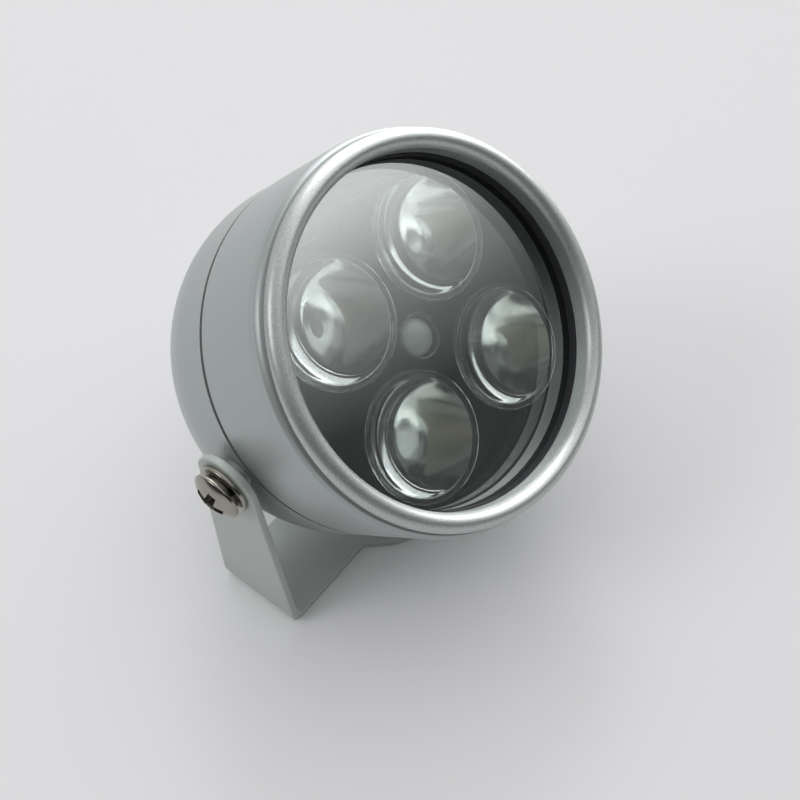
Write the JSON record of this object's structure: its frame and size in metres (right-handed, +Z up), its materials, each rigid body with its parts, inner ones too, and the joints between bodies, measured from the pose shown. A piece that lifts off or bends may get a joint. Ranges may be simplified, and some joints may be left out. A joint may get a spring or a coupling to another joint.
{
  "type": "infrared illuminator",
  "caption": "Round metal infrared lamp head with a flat glass front over lensed emitters and a light sensor, tilting in a folded U bracket with a round screw-down pad.",
  "frame": {"origin": "centre of the bracket pad, on its underside", "axes": "+Z up from the pad, the lamp head faces -Y and is tilted up, +X along the tilt pivot"},
  "size_m": [0.0696, 0.0643, 0.0705],
  "materials": {
    "housing_paint": "satin",
    "bracket_paint": "satin",
    "seal_rubber": "matt",
    "window_glass": "clear polished",
    "black_metal": "satin",
    "dark_board": "satin",
    "brass_spacer": "turned",
    "green_board": "satin",
    "nickel_steel": "nickel plated",
    "ferrite": "matt",
    "can_aluminium": "satin",
    "black_plastic": "moulded",
    "wire_cover": "gloss",
    "sensor_resin": "gloss",
    "clear_plastic": "clear",
    "lens_glass": "clear polished",
    "silvered": "silvered",
    "emitter_white": "satin"
  },
  "bodies": {
    "mount": {"bracket": "bracket_paint"},
    "head": {"front_housing": "housing_paint", "rear_housing": "housing_paint", "housing_seal": "seal_rubber", "glass_gasket": "seal_rubber", "cover_glass": "window_glass", "glass_retainer": "black_metal", "led_board": "dark_board", "led_board_screws": "black_metal", "board_spacers": "brass_spacer", "driver_board": "green_board", "driver_screws": "nickel_steel", "driver_inductor": "ferrite", "driver_capacitor": "can_aluminium", "driver_chip": "black_plastic", "link_wires": "wire_cover", "photocell": "sensor_resin", "photocell_sleeve": "clear_plastic", "cable_gland": "black_plastic", "gland_nut": "black_plastic", "pivot_screws": "nickel_steel", "flat_washers": "nickel_steel", "spring_washers": "nickel_steel", "lens_holder_upper_left": "black_plastic", "lens_upper_left": "lens_glass", "reflector_upper_left": "silvered", "led_upper_left": "emitter_white", "lens_holder_upper_right": "black_plastic", "lens_upper_right": "lens_glass", "reflector_upper_right": "silvered", "led_upper_right": "emitter_white", "lens_holder_lower_left": "black_plastic", "lens_lower_left": "lens_glass", "reflector_lower_left": "silvered", "led_lower_left": "emitter_white", "lens_holder_lower_right": "black_plastic", "lens_lower_right": "lens_glass", "reflector_lower_right": "silvered", "led_lower_right": "emitter_white"}
  },
  "joints": [
    {"name": "head_tilt", "type": "hinge", "parent": "mount", "child": "head", "pos_m": [0, 0, 0.0352], "axis": [1, 0, 0], "range_deg": [-30, 60]}
  ]
}
